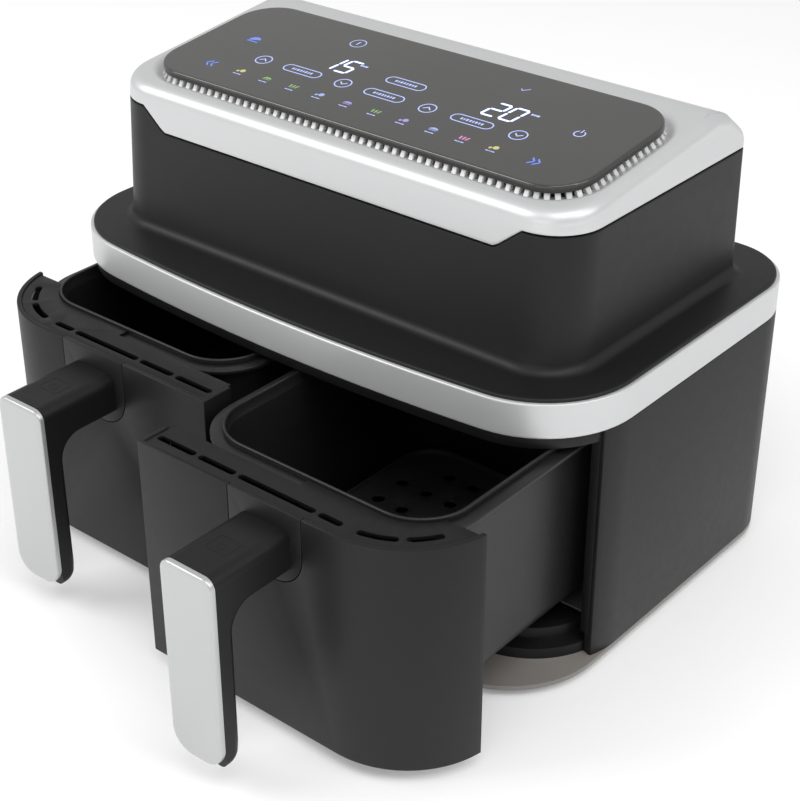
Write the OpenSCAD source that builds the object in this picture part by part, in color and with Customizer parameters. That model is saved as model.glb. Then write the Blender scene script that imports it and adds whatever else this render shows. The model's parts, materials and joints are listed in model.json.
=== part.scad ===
// Dual drawer air fryer with a stepped body, a touch panel on top and two pull-out drawers.
// Millimetres, +Z up, the front faces -Y. The origin is under the middle of the whole object's box.

/* [Body] */
// Width of the body and of the two drawer fronts together
body_w = 400; // [380:1:480]
// Depth of the body from the front of the silver band to the rear wall
body_d = 258; // [246:1:320]
// Height of the side and rear walls, from the base plate to the silver band
case_h = 151; // [147:1:190]
// Wall of the moulded covers
wall = 2.5; // [2:0.1:3.5]
// Corner radius of the body at the front
front_corner = 62; // [50:1:66]
// Corner radius of the body at the rear
rear_corner = 44; // [20:1:45]
// How far the front bulges forward in its middle
front_bow = 7; // [3:0.5:10]
// Distance from the band's front to the front edge of the side walls
side_edge = 49; // [45:1:55]

/* [Base] */
// Height of the rubber feet
foot_h = 5; // [3:0.5:12]
// Radius of the rubber feet
foot_r = 11; // [6:0.5:14]
// Thickness of the base plate
base_t = 3; // [2:0.5:5]
// How far the base plate reaches in front of the band, to steady the open drawers
toe_reach = 24; // [10:1:30]
// Height of each step of the moulded rail behind the base plate's lip
step_h = 7; // [4:0.5:8]

/* [Band and tower] */
// Height of the silver band
band_h = 21; // [14:0.5:30]
// Thickness of the silver band
band_t = 3.5; // [2.5:0.1:5]
// Distance from the band's front to the tower's front wall
tower_front = 42; // [38:1:50]
// Distance from the rear wall to the tower's rear wall
tower_back = 37; // [20:1:50]
// Distance from the side walls to the tower's side walls
tower_side = 28; // [18:1:29]
// Height of the tower's walls above the shoulder
tower_h = 80; // [76:1:110]
// Corner radius of the tower at the front
tower_corner = 30; // [20:1:45]
// Corner radius of the tower at the rear
tower_rear_corner = 8; // [8:1:30]
// Thickness of the shoulder around the tower
shoulder_t = 2; // [1.5:0.1:3]
// Width of silver left showing on top of the band
band_show = 2; // [1:0.1:2.5]

/* [Silver top] */
// Height of the silver rim at the front
rim_h = 11.5; // [9:0.5:14]
// Depth of the recess that the glass stands in
recess = 5.5; // [3:0.5:7]
// Gap between the glass and the recess's wall
recess_gap = 3; // [2:0.5:5]
// Slope of the deck, rising to the rear
deck_tilt = 6.4; // [3:0.1:9]
// Rounding of the deck's rear edge
deck_round = 24; // [10:1:28]
// Depth of the drop in the middle of the front rim
wave_drop = 13.5; // [6:0.5:18]
// Half width of the dropped part
wave_half = 125; // [80:1:130]
// Length of the slope at each end of the dropped part
wave_slope = 17; // [8:1:24]
// Shadow gap under the silver rim
rim_gap = 1; // [0.5:0.1:2]

/* [Control panel] */
// Width of the glass
glass_w = 315; // [220:1:316]
// Depth of the glass
glass_d = 110; // [90:1:116]
// Corner radius of the glass
glass_corner = 26; // [16:1:40]
// Thickness of the glass
glass_t = 4.4; // [3:0.1:6]
// Distance from the tower's front wall to the glass
glass_set = 19; // [12:1:26]
// Height of the vent ring under the glass
vent_h = 4.4; // [3:0.1:7]
// Pitch of the vent slots
vent_pitch = 6; // [4.5:0.1:9]
// Width of each vent slot
vent_slot = 2.6; // [1.5:0.1:3]

/* [Drawers] */
// Height of the drawer fronts
drawer_h = 141; // [133:1:142]
// How far the closed drawer fronts stand in front of the band
front_proud = 2.3; // [1:0.1:6]
// Corner radius of the drawer fronts
drawer_corner = 60; // [52:1:66]
// Gap between the two drawer fronts
drawer_gap = 1.6; // [1:0.1:3]
// Thickness of the drawer fronts
skin = 3; // [2.5:0.1:4]
// How far the left drawer stands open
pull_left = 53; // [20:1:150]
// How far the right drawer stands open
pull_right = 105; // [20:1:150]
// Depth of the tub below its rim
tub_h = 115; // [95:1:118]
// Wall of the tub
tub_wall = 1.8; // [1.2:0.1:2.5]
// Corner radius of the tub
tub_corner = 31; // [20:1:40]
// Gap between the crisper plate's rim and the tub's walls
plate_gap = 6; // [4:0.5:10]
// Width of the flange that slides on the rails
flange_w = 7; // [5:0.5:9]
// Running gap between a flange and its rail
rail_gap = 0.3; // [0.2:0.05:0.6]
// Width of the slots in the drawer's top frame
slot_w = 4.4; // [3:0.1:6]

/* [Handles] */
// Width of the handle
handle_w = 36; // [28:1:44]
// Distance from the middle of the body to the middle of each handle
handle_x = 94; // [80:1:104]
// Distance from the drawer front to the front of the handle
handle_reach = 57; // [50:1:70]
// Height of the grip
grip_h = 121; // [90:1:124]
// Thickness of the grip, with its facing
grip_t = 15; // [13:0.5:20]
// Thickness of the silver facing
facing_t = 4; // [2:0.5:5]
// Height of the neck that joins the grip to the drawer front
neck_h = 24; // [18:1:30]
// Width of the plate behind the neck
insert_w = 51; // [48:1:60]
// Height of the plate behind the neck
insert_h = 45; // [41:1:54]

/* [Crisper plate] */
// Height of the plate above the tub's floor
plate_lift = 13; // [8:1:20]
// Thickness of the plate
plate_t = 1.6; // [1:0.1:2.5]
// Radius of the holes in the plate
plate_hole_r = 4; // [2:0.5:5]

/* [Heating] */
// Radius of the heat dome
dome_r = 72; // [66:1:72]
// Height of the heat dome
dome_h = 38; // [36:1:44]
// Radius of the heater's tube
heater_r = 3.2; // [2.5:0.1:4]
// Radius of the hot-air fan
fan_r = 54; // [40:1:58]
// Blades of the hot-air fan
fan_blades = 10; // [6:1:14]
// Radius of the fan shaft
shaft_r = 3; // [2.5:0.1:4]
// Radius of the motor
motor_r = 28; // [22:1:32]
// Height of the motor
motor_h = 26; // [20:1:28]

/* [Rear] */
// Width of each rear air outlet
outlet_w = 80; // [50:1:90]
// Height of each rear air outlet
outlet_h = 42; // [30:1:50]
// Radius of the hole for the mains lead in its gland
lead_r = 4; // [3:0.1:5]
// How far the gland stands out of the rear wall
gland_out = 6; // [3:0.5:10]

/* [Hidden] */
$fn = 64;

charcoal = "#333437";
soft_black = "#232426";
silver = "#c8cacc";
smoked = "#4a4a4a";
steel = "#9a9da0";
dark_steel = "#5b5c5e";
rubber = "#1b1b1c";
board_green = "#2f5a3a";

fit_gap = 0.3;
shaft_gap = 0.05;

// Levels
base_top = foot_h + base_t;
step_inset = wall + 3.5;
band_z = base_top + case_h;
shoulder_z = band_z + band_h;
tower_z = shoulder_z + shoulder_t;
split_z = tower_z + tower_h;

// Plan of the body
half_w = body_w / 2;
bow_r = (pow(half_w - front_corner, 2) + front_bow * front_bow) / (2 * front_bow);
tower_w = body_w - 2 * tower_side;
tower_y1 = body_d - tower_back;

// Deck and control panel, whose own frame lies on the deck with its origin at the glass's front edge
glass_y = tower_front + glass_set;
deck_z = split_z + rim_h - recess + glass_set * tan(deck_tilt);
tray_flange_t = 1.2;
tray_depth = 12;
deck_seat = 0.05;
tray_t = 1.5;
tray_inset = 12.3;
cover_lip = 3;
glass_z = tray_flange_t + vent_h;
board_t = 1.6;
board_z = -6.6;
board_inset = 18;

// Cavities
web_half = 6;
liner_t = 1.2;
liner_x0 = web_half + 0.5;
liner_x1 = half_w - 12.5;
bezel_d = 12;
header_d = 45;
liner_y0 = side_edge + bezel_d;
liner_y1 = body_d - 18;
liner_z0 = base_top + 2 * step_h + 3;
liner_z1 = band_z + liner_t;
cavity_x = (liner_x0 + liner_x1) / 2;

// Drawers, drawn closed and then moved out
front_y = -front_proud;
drawer_z = base_top + 1;
drawer_top = drawer_z + drawer_h;
inner_x = drawer_gap / 2;
wrap_end = side_edge - 1.2;
flange_t = 2.5;
frame_t = 2;
frame_z = drawer_top - 0.7 - frame_t;
flange_z = frame_z - flange_t;
rim_top = drawer_top + 1;
tub_z = rim_top - tub_h;
tub_clear = 1.3;
flange_half = (liner_x1 - liner_x0) / 2 - liner_t - tub_clear;
flange_y0 = front_y + 24.3;
flange_y1 = liner_y1 - liner_t - 7;
wall_half = flange_half - flange_w;
wall_y0 = flange_y0 + flange_w;
wall_y1 = flange_y1 - flange_w;
web_y = flange_y0 - 3;
step_clear_z = base_top + 2 * step_h + 1.5;
slot_inset = 11;
frame_slot_shares = [[0.06, 0.23], [0.28, 0.44], [0.49, 0.84], [0.89, 0.97]];
frame_slot_turns = [[-79, -58], [-49, -31]];
slot_cap_ease = 0.02;
slot_cap_r = slot_w / 2 - slot_cap_ease;
plate_z = tub_z + tub_wall + plate_lift;

// Handles
handle_top = drawer_top - 11;
insert_lip = 4;
insert_round = 20;
facing_round = [13, 6];
neck_y = front_y - handle_reach + grip_t;
facing_y = front_y - handle_reach;
handle_fillet = 14;
screw_r = 2;
screw_spread = 18;
insert_back = 2;

// Heating zones
dome_x = tower_w / 2 - 84;
dome_y = (tower_front + tower_y1) / 2 + 0.5;
dome_t = 1;
flange_ring = 5;
dome_top = liner_z1 + dome_h;
heater_z = liner_z1 + 14;
heater_rings = [26, 42, 58];
guard_rings = [22, 44, 66];
guard_z = liner_z1 + 4;
wire_r = 1.2;
fan_z = heater_z + 7;
fan_h = 12;
cool_z = dome_top + 2.5;
cool_h = 7;
cool_r = 38;
leg_x = 43;
bracket_z = cool_z + cool_h + 3;
motor_z = bracket_z + 2;
probe_at = [0, -62];
cutout_at = [-30, 52];
terminal_r = 2.2;
terminal_hole_r = 4;

// Rear
outlet_x = half_w - 105;
outlet_z = band_z - 20 - outlet_h;
gland_z = base_top + 28;
gland_r = 8;
boss_r = 4.5;
boss_x = half_w - 7.5;
boss_y = [liner_y0 + 34, liner_y1 - 44];

// The whole object's box runs from the right handle to the gland
frame_y = -(facing_y - pull_right + body_d + gland_out) / 2;

function pull(side) = side == "left" ? pull_left : pull_right;

// Placing

module in_frame() {
    translate([0, frame_y, 0]) children();
}

module on_side(side) {
    in_frame() mirror([side == "left" ? 1 : 0, 0, 0]) children();
}

module in_drawer(side) {
    translate([0, -pull(side), 0]) on_side(side) children();
}

module on_deck() {
    in_frame() translate([0, glass_y, deck_z]) rotate([deck_tilt, 0, 0]) children();
}

module on_dome(side, z) {
    on_side(side) translate([dome_x, dome_y, z]) children();
}

module in_zone(z) {
    for (side = [-1, 1])
        in_frame() translate([side * dome_x, dome_y, z]) children();
}

// Outlines

module corner_circles(w, y, r) {
    for (x = [-w / 2 + r, w / 2 - r])
        translate([x, y]) circle(r);
}

module round_plan(w, y0, y1, r0, r1) {
    translate([-w / 2, y0 + r0]) square([w, y1 - y0 - r0 - r1]);
    translate([-w / 2 + r0, y0]) square([w - 2 * r0, r0]);
    translate([-w / 2 + r1, y1 - r1]) square([w - 2 * r1, r1]);
    corner_circles(w, y0 + r0, r0);
    corner_circles(w, y1 - r1, r1);
}

// Body outline, set in all round; forward moves only its front. The front corners run smoothly into the bow.
module body_plan(inset = 0, forward = 0) {
    corner_x = half_w - front_corner;
    corner_y = bow_r - sqrt(pow(bow_r - front_corner, 2) - corner_x * corner_x);
    reach = bow_r / (bow_r - front_corner);
    r1 = max(rear_corner - inset, 1);
    w = body_w - 2 * inset;
    intersection() {
        translate([0, bow_r - forward]) circle(bow_r - inset, $fn = 360);
        translate([0, -forward]) polygon([
            [-corner_x, corner_y], [-corner_x * reach, bow_r - (bow_r - corner_y) * reach],
            [-corner_x * reach, -1], [corner_x * reach, -1],
            [corner_x * reach, bow_r - (bow_r - corner_y) * reach], [corner_x, corner_y]
        ]);
    }
    corner_circles(2 * (corner_x + front_corner - inset), corner_y - forward, front_corner - inset);
    translate([-w / 2, corner_y - forward]) square([w, body_d - inset - r1 - corner_y + forward]);
    translate([-w / 2 + r1, body_d - inset - r1]) square([w - 2 * r1, r1]);
    corner_circles(w, body_d - inset - r1, r1);
}

module tower_plan(inset = 0) {
    round_plan(tower_w - 2 * inset, tower_front + inset, tower_y1 - inset,
        tower_corner - inset, tower_rear_corner - inset);
}

module glass_plan(inset = 0) {
    round_plan(glass_w - 2 * inset, inset, glass_d - inset, glass_corner - inset, glass_corner - inset);
}

module front_plan(inset = 0) {
    round_plan(body_w - 2 * inset, front_y + inset, body_d, drawer_corner - inset, 1);
}

module tub_plan(inset = 0) {
    translate([cavity_x, 0])
        round_plan(2 * (wall_half - inset), wall_y0 + inset, wall_y1 - inset,
            tub_corner - inset, tub_corner - inset);
}

module flange_plan() {
    translate([cavity_x, 0])
        round_plan(2 * flange_half, flange_y0, flange_y1, tub_corner + flange_w, tub_corner + flange_w);
}

module plan_front(y, depth = 400) {
    translate([-body_w, y - depth]) square([2 * body_w, depth]);
}

module plan_rear(y) {
    translate([-body_w, y]) square([2 * body_w, body_d + 10 - y]);
}

module slab(z, h) {
    translate([0, 0, z]) linear_extrude(h) children();
}

module block(x, y, z) {
    translate([x[0], y[0], z[0]]) cube([x[1] - x[0], y[1] - y[0], z[1] - z[0]]);
}

module along_y(y0, y1, r) {
    translate([0, y0, 0]) rotate([-90, 0, 0]) cylinder(r = r, h = y1 - y0);
}

module ring_wire(r, wire) {
    rotate_extrude($fn = 96) translate([r, 0]) circle(wire, $fn = 24);
}

// Body

module base_pan() {
    in_frame() color(soft_black) difference() {
        union() {
            slab(foot_h, base_t) body_plan(0, toe_reach);
            slab(base_top, step_h) intersection() {
                body_plan(step_inset);
                plan_front(liner_y0);
            }
            slab(base_top + step_h, step_h) intersection() {
                body_plan(step_inset + 10.5);
                plan_front(liner_y0);
            }
            for (x = [-1, 1], y = [liner_y0 + 20, liner_y1 - 30])
                translate([x * cavity_x, y, 0]) liner_pad();
        }
        screw_places() cylinder(r = 2.1, h = 40, center = true);
    }
}

module liner_pad() {
    block([-50, 50], [-8, 8], [base_top, liner_z0]);
}

module screw_places() {
    for (turn = [0, 1], y = boss_y)
        mirror([turn, 0, 0]) translate([boss_x, y, 0]) children();
}

module rubber_feet() {
    in_frame() color(rubber)
        for (x = [-1, 1], y = [8, body_d - 34])
            translate([x * (half_w - 52), y, 0]) cylinder(r = foot_r, h = foot_h);
}

module case_screws() {
    in_frame() color(steel) screw_places() {
        translate([0, 0, foot_h - 2]) cylinder(r = 4, h = 2);
        translate([0, 0, foot_h]) cylinder(r = 1.6, h = 20);
    }
}

module outer_shell() {
    in_frame() color(charcoal) difference() {
        union() {
            slab(base_top, case_h) intersection() {
                difference() {
                    body_plan();
                    body_plan(wall);
                }
                plan_rear(side_edge);
            }
            screw_places() screw_boss();
        }
        for (x = [-1, 1])
            translate([x * outlet_x, 0, 0]) outlet_hole(0);
        translate([0, 0, gland_z]) along_y(body_d - 10, body_d + 1, gland_r + 0.2);
        screw_places() cylinder(r = 1.65, h = 60);
    }
}

module screw_boss() {
    slab(base_top, 30) {
        circle(boss_r);
        translate([0, -2]) square([half_w - boss_x - wall / 2, 4]);
    }
}

module outlet_hole(inset) {
    block([-outlet_w / 2 + inset, outlet_w / 2 - inset], [body_d - 10, body_d + 1],
        [outlet_z + inset, outlet_z + outlet_h - inset]);
}

module exhaust_grilles() {
    in_frame() color(soft_black)
        for (x = [-1, 1])
            translate([x * outlet_x, 0, 0]) outlet_grille();
}

// A frame behind the wall with sloping slats that stand in the opening
module outlet_grille() {
    in_y = body_d - wall;
    difference() {
        block([-outlet_w / 2 - 5, outlet_w / 2 + 5], [in_y - 2, in_y], [outlet_z - 5, outlet_z + outlet_h + 5]);
        outlet_hole(3);
    }
    pitch = 6;
    for (z = [outlet_z + 5 : pitch : outlet_z + outlet_h - 4])
        block([-outlet_w / 2 + 0.4, outlet_w / 2 - 0.4], [in_y - 1.5, body_d - 0.4], [z, z + 1.8]);
}

module cord_gland() {
    in_frame() translate([0, 0, gland_z]) color(rubber) difference() {
        union() {
            along_y(body_d - wall, body_d, gland_r);
            along_y(body_d, body_d + gland_out, gland_r + 3);
            along_y(body_d - wall - 3, body_d - wall, gland_r + 3);
        }
        along_y(body_d - 20, body_d + 20, lead_r);
    }
}

// The frame around the two cavity mouths: a header, two side posts and a middle post
module front_bezel() {
    in_frame() color(soft_black) union() {
        slab(drawer_top + 2, band_z - drawer_top - 2) difference() {
            intersection() {
                body_plan(2);
                plan_front(side_edge);
            }
            body_plan(header_d);
        }
        slab(drawer_top + 2, band_z - drawer_top - 2) difference() {
            intersection() {
                body_plan(wall);
                plan_front(liner_y0);
            }
            body_plan(header_d);
        }
        slab(base_top + 2 * step_h, band_z - base_top - 2 * step_h) bezel_posts();
        slab(base_top, 2 * step_h + 1) intersection() {
            bezel_posts();
            plan_rear(liner_y0 - 11);
            difference() {
                square(3 * body_w, center = true);
                body_plan(step_inset - fit_gap);
            }
        }
    }
}

module bezel_posts() {
    intersection() {
        body_plan(wall);
        union() {
            for (x = [-1, 1])
                translate([x * (liner_x1 + half_w) / 2, side_edge + bezel_d / 2])
                    square([half_w - liner_x1 - 2, bezel_d], center = true);
            translate([-web_half, web_y + 9]) square([2 * web_half, liner_y0 - web_y - 9]);
        }
    }
}

module trim_band() {
    in_frame() color(silver) slab(band_z, band_h) difference() {
        body_plan();
        body_plan(band_t);
    }
}

module upper_cover() {
    in_frame() color(charcoal) difference() {
        union() {
            slab(shoulder_z, shoulder_t) body_plan(band_show);
            slab(shoulder_z - 10, 10) difference() {
                body_plan(band_t + fit_gap);
                body_plan(band_t + fit_gap + wall);
            }
            slab(tower_z, tower_h - rim_gap) tower_plan();
            slab(tower_z, tower_h + cover_lip) tower_plan(wall + fit_gap);
        }
        slab(shoulder_z - 1, tower_h + 20) tower_plan(2 * wall);
        slab(shoulder_z - 1, tower_h - wave_drop - 10) tower_plan(wall);
        tower_wave(rim_gap, tower_front + wall);
    }
}

// The dropped part of the front rim, seen from the front
module wave_outline(gap) {
    top = split_z + 10;
    low = split_z - wave_drop - gap;
    high = split_z - gap;
    out = gap / 2;
    polygon([
        [-wave_half - wave_slope - out, top], [-wave_half - wave_slope - out, high],
        [-wave_half - out, low], [wave_half + out, low],
        [wave_half + wave_slope + out, high], [wave_half + wave_slope + out, top]
    ]);
}

module tower_wave(gap, depth) {
    translate([0, depth, 0]) rotate([90, 0, 0]) linear_extrude(depth) wave_outline(gap);
}

// Side view of the silver top, set in on its outside, with its rear edge rounded into the deck's slope
module deck_profile(inset) {
    y0 = tower_front + inset;
    y1 = tower_y1 - inset;
    low = split_z - 1;
    r = deck_round - inset;
    top0 = split_z + rim_h - inset;
    top1 = top0 + (y1 - y0) * tan(deck_tilt);
    difference() {
        polygon([[y0, low], [y1, low], [y1, top1], [y0, top0]]);
        translate([y1 - r, top1 - r * (tan(deck_tilt) + 1 / cos(deck_tilt))]) difference() {
            translate([-r * sin(deck_tilt), 0]) square(2 * r);
            circle(r);
        }
    }
}

module deck_solid(inset) {
    intersection() {
        slab(split_z - 1, rim_h + 60) tower_plan(inset);
        translate([tower_w, 0, 0]) rotate([90, 0, -90]) mirror([1, 0, 0])
            linear_extrude(2 * tower_w) deck_profile(inset);
    }
}

module top_trim() {
    color(silver) difference() {
        in_frame() union() {
            difference() {
                deck_solid(0);
                deck_solid(wall);
                slab(split_z - 2, 2) square(3 * body_w, center = true);
            }
            slab(split_z + cover_lip, 1.5) difference() {
                tower_plan(wall - 0.5);
                tower_plan(2 * wall);
            }
            wave_skirt();
            recess_pan();
        }
        on_deck() slab(0, rim_h + tray_depth) glass_plan(-recess_gap);
        on_deck() slab(-tray_depth, 2 * tray_depth) glass_plan(tray_inset - fit_gap);
    }
}

// Material under and around the recess, before the recess itself is cut
module recess_pan() {
    intersection() {
        deck_solid(0);
        translate([0, glass_y, deck_z]) rotate([deck_tilt, 0, 0])
            slab(-wall, recess + 2 * wall) glass_plan(-recess_gap - wall);
    }
}

module wave_skirt() {
    intersection() {
        tower_wave(0, tower_front + wall);
        slab(split_z - wave_drop, wave_drop + 1) difference() {
            tower_plan();
            tower_plan(wall);
        }
    }
}

// Control panel

module panel_tray() {
    on_deck() color(soft_black) {
        slab(deck_seat, tray_flange_t - deck_seat) difference() {
            glass_plan(2);
            glass_plan(tray_inset + 1.7);
        }
        slab(-tray_depth, tray_depth + deck_seat) difference() {
            glass_plan(tray_inset);
            glass_plan(tray_inset + tray_t);
        }
        slab(-tray_depth, tray_t) glass_plan(tray_inset);
        for (x = [-1, 0, 1], y = [24, glass_d - 24])
            translate([x * (glass_w / 2 - 30), y, tray_t - tray_depth])
                cylinder(r = 3, h = board_z + tray_depth - tray_t);
    }
}

module vent_grille() {
    slot_z = tray_flange_t + (vent_h - 3) / 2;
    on_deck() color(silver) difference() {
        slab(tray_flange_t, vent_h) difference() {
            glass_plan(3);
            glass_plan(5.2);
        }
        for (x = [-glass_w / 2 + glass_corner + 2 : vent_pitch : glass_w / 2 - glass_corner])
            translate([x, 0, slot_z]) cube([vent_slot, 10, 3]);
        for (side = [-1, 1], y = [glass_corner + 2 : vent_pitch : glass_d - glass_corner - vent_slot])
            translate([side * glass_w / 2 - 10, y, slot_z]) cube([20, vent_slot, 3]);
        for (side = [-1, 1], turn = [15 : 15 : 75])
            translate([side * (glass_w / 2 - glass_corner), glass_corner, slot_z])
                rotate(-90 + side * turn) translate([glass_corner - 10, -vent_slot / 2, 0])
                    cube([12, vent_slot, 3]);
    }
}

module control_glass() {
    on_deck() color(smoked, 0.8) slab(glass_z, glass_t) glass_plan();
}

module control_board() {
    on_deck() color(board_green) {
        slab(board_z, board_t) glass_plan(board_inset);
        for (i = [-3 : 3])
            translate([i * glass_w / 8, glass_d - board_inset - 10, board_z + board_t]) cube([8, 6, 2]);
    }
}

module display_modules() {
    on_deck() color(rubber)
        for (x = [-1, 1])
            translate([x * glass_w * 0.19, glass_d * 0.55, 0])
                block([-26, 26], [-9, 9], [board_z + board_t, glass_z - fit_gap]);
}

module touch_springs() {
    on_deck() color(steel)
        for (x = [-4.5 : 1 : 4.5])
            translate([x * glass_w / 11.5, glass_d * 0.25, board_z + board_t])
                cylinder(r = 3, h = glass_z - board_z - board_t - fit_gap);
}

// Electrics

module board_bracket() {
    in_frame() color(steel) {
        block([-9.5, 9.5], [dome_y - 62, dome_y + 62], [liner_z1, liner_z1 + 1.5]);
        block([-2.6, -1], [dome_y - 62, dome_y + 62], [liner_z1 + 1.5, split_z - 30]);
    }
}

module power_board() {
    in_frame() color(board_green) {
        block([-1, 0.6], [dome_y - 60, dome_y + 60], [liner_z1 + 12, split_z - 32]);
        for (y = [-40, 34])
            block([0.6, 12], [dome_y + y - 10, dome_y + y + 10], [dome_top + 2, dome_top + 20]);
        for (y = [-8, 12])
            translate([0.6, dome_y + y, dome_top + 12]) rotate([0, 90, 0]) cylinder(r = 7, h = 16);
    }
}

module temperature_probes() {
    color(steel) in_zone(dome_top) translate([probe_at[0], probe_at[1], 0]) {
        cylinder(r = 4, h = 3);
        translate([0, 0, -14]) cylinder(r = 1.5, h = 14);
    }
}

module thermal_cutouts() {
    for (side = ["left", "right"])
        color(soft_black) on_dome(side, dome_top) translate([cutout_at[0], cutout_at[1], 0]) {
            cylinder(r = 8, h = 5);
            translate([-5, -1, 5]) cube([2, 2, 5]);
            translate([3, -1, 5]) cube([2, 2, 5]);
        }
}

module drawer_sensors() {
    in_frame() color(soft_black)
        for (x = [-1, 1])
            translate([x * cavity_x, 0, 0])
                block([-10, 10], [liner_y1, liner_y1 + 5], [flange_z - 16, flange_z - 4]);
}

// Cooking zones

module cavity_liner(side) {
    on_side(side) color(steel) difference() {
        block([liner_x0, liner_x1], [liner_y0, liner_y1], [liner_z0, liner_z1]);
        block([liner_x0 + liner_t, liner_x1 - liner_t], [liner_y0 - 1, liner_y1 - liner_t],
            [liner_z0 + liner_t, liner_z1 - liner_t]);
        translate([dome_x, dome_y, liner_z1 - 5]) cylinder(r = dome_r - 2, h = 10);
    }
}

module runner_rails(side) {
    rail_w = flange_w - 1;
    on_side(side) color(dark_steel)
        for (x = [liner_x0 + liner_t, liner_x1 - liner_t - rail_w])
            block([x, x + rail_w], [liner_y0, liner_y1 - liner_t - 4],
                [flange_z - rail_gap - 5, flange_z - rail_gap]);
}

module heat_dome(side) {
    on_dome(side, liner_z1) color(steel) difference() {
        union() {
            cylinder(r = dome_r, h = dome_h);
            cylinder(r = dome_r + flange_ring, h = dome_t);
        }
        translate([0, 0, -1]) cylinder(r = dome_r - dome_t, h = dome_h + 1 - dome_t);
        cylinder(r = shaft_r + 2, h = dome_h + 1);
        translate([probe_at[0], probe_at[1], 0]) cylinder(r = 1.8, h = dome_h + 1);
        for (x = [-1, 1])
            translate([x * 9, heater_rings[2], 0]) cylinder(r = terminal_hole_r, h = dome_h + 1);
    }
}

module heater(side) {
    on_dome(side, heater_z) color(dark_steel) {
        for (r = heater_rings)
            ring_wire(r, heater_r);
        for (x = [-1, 1]) {
            translate([x * 9, 0, 0]) along_y(heater_rings[0], heater_rings[2], heater_r - 0.6);
            translate([x * 9, heater_rings[2], 0]) {
                cylinder(r = terminal_r, h = dome_top - heater_z + 10);
                translate([0, 0, dome_top - heater_z - 2]) cylinder(r = terminal_hole_r - fit_gap, h = 3);
                translate([0, 0, dome_top - heater_z]) cylinder(r = terminal_hole_r + 1.5, h = 3);
            }
        }
    }
}

module heater_guard(side) {
    on_dome(side, guard_z) color(steel) {
        for (r = guard_rings)
            ring_wire(r, wire_r);
        for (turn = [0 : 45 : 315])
            rotate(turn) along_y(guard_rings[0], dome_r - dome_t - fit_gap, wire_r - 0.1);
    }
}

module fan_shaft(side) {
    on_dome(side, fan_z - 3) color(steel) cylinder(r = shaft_r, h = motor_z - fan_z + 3 + motor_h / 2);
}

module fan_wheel(r, h, hub, blades, plate_z) {
    difference() {
        union() {
            cylinder(r = hub, h = h);
            translate([0, 0, plate_z]) cylinder(r = r, h = 1);
            for (i = [0 : blades - 1])
                rotate(i * 360 / blades) translate([hub - 2, -0.6, 0]) cube([r - hub + 1, 1.2, h]);
        }
        translate([0, 0, -1]) cylinder(r = shaft_r + shaft_gap, h = h + 2);
    }
}

module hot_fan(side) {
    on_dome(side, fan_z) color(steel) fan_wheel(fan_r, fan_h, 10, fan_blades, fan_h - 1);
}

module cooling_fan(side) {
    on_dome(side, cool_z) color(soft_black) fan_wheel(cool_r, cool_h, 9, 8, 0);
}

module motor_bracket(side) {
    on_dome(side, dome_top) color(steel) difference() {
        union() {
            for (x = [-1, 1]) {
                translate([x * leg_x, 0, (bracket_z - dome_top) / 2])
                    cube([2, 24, bracket_z - dome_top], center = true);
                translate([x * (leg_x + 5), 0, 0.75]) cube([12, 24, 1.5], center = true);
            }
            block([-leg_x - 1, leg_x + 1], [-14, 14], [bracket_z - dome_top, motor_z - dome_top]);
        }
        cylinder(r = 9, h = 60);
    }
}

module motor(side) {
    on_dome(side, motor_z) color(dark_steel) difference() {
        union() {
            cylinder(r = motor_r, h = motor_h);
            translate([0, 0, motor_h]) cylinder(r = 8, h = 3);
        }
        translate([0, 0, -1]) cylinder(r = shaft_r + shaft_gap, h = motor_h / 2 + 3);
    }
}

// Drawers

module drawer_front(side) {
    in_drawer(side) color(charcoal) difference() {
        union() {
            slab(drawer_z, drawer_h) intersection() {
                difference() {
                    front_plan();
                    front_plan(skin);
                }
                translate([inner_x, front_y - 1]) square([body_w, wrap_end - front_y + 1]);
            }
            block([inner_x, inner_x + skin], [front_y, web_y], [step_clear_z, drawer_top]);
        }
        insert_cut(fit_gap);
    }
}

// Outline of the plate behind the handle's neck: straight to the top, round below
module insert_outline(grow) {
    r = insert_round;
    w = insert_w + 2 * grow;
    translate([handle_x - w / 2, drawer_top - insert_h + r - grow]) square([w, insert_h - r + grow]);
    translate([handle_x - w / 2 + r, drawer_top - insert_h - grow]) square([w - 2 * r, r]);
    for (x = [handle_x - w / 2 + r, handle_x + w / 2 - r])
        translate([x, drawer_top - insert_h + r - grow]) circle(r);
}

module insert_cut(gap) {
    translate([0, front_y + skin + 1, 0]) rotate([90, 0, 0]) linear_extrude(skin + 2) {
        insert_outline(gap);
        translate([handle_x - insert_w / 2 - gap, drawer_top - 5]) square([insert_w + 2 * gap, 10]);
    }
}

module handle_insert(side) {
    in_drawer(side) color(charcoal) difference() {
        union() {
            translate([0, front_y + skin, 0]) rotate([90, 0, 0]) linear_extrude(skin) insert_outline(0);
            translate([0, front_y + skin + insert_back, 0]) rotate([90, 0, 0]) linear_extrude(insert_back)
                intersection() {
                    insert_outline(insert_lip);
                    square([body_w, frame_z]);
                }
        }
        handle_bores(screw_r + 0.3);
    }
}

module handle_bores(r) {
    for (x = [-1, 1])
        translate([handle_x + x * screw_spread / 2, 0, handle_top - neck_h / 2])
            along_y(front_y - 16, front_y + skin + insert_back + 1, r);
}

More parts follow.
